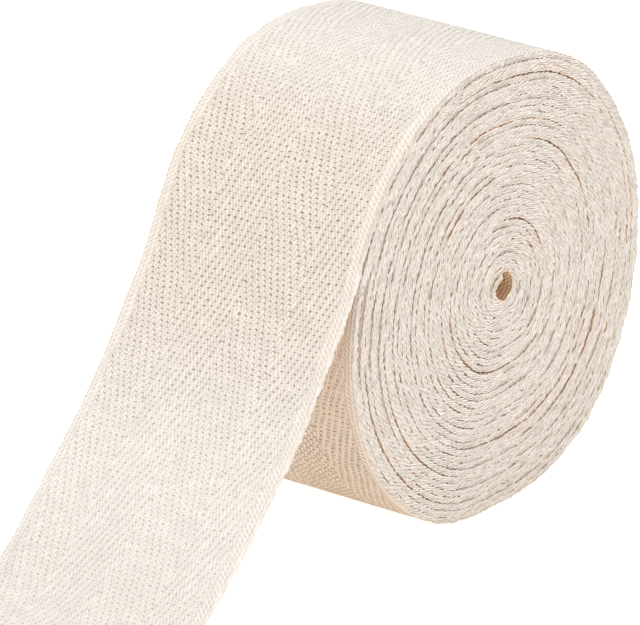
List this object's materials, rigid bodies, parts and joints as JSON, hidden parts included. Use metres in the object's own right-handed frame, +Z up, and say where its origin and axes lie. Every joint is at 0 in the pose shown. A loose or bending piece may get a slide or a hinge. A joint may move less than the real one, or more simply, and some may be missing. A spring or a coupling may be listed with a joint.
{
  "type": "roll of cotton webbing",
  "caption": "Roll of natural cotton herringbone webbing wound on itself, with an open eye and a loose end that falls from the front to the surface.",
  "frame": {"origin": "on the surface, under the middle of the whole object, roll and loose end together", "axes": "+X along the roll's axis towards its near end, -Y the way the loose end runs out, +Z up"},
  "size_m": [0.05, 0.182, 0.0939],
  "materials": {
    "cotton": "matt natural cotton, unbleached cream"
  },
  "bodies": {
    "root": {"roll": "cotton", "loose_end": "cotton"}
  },
  "joints": []
}
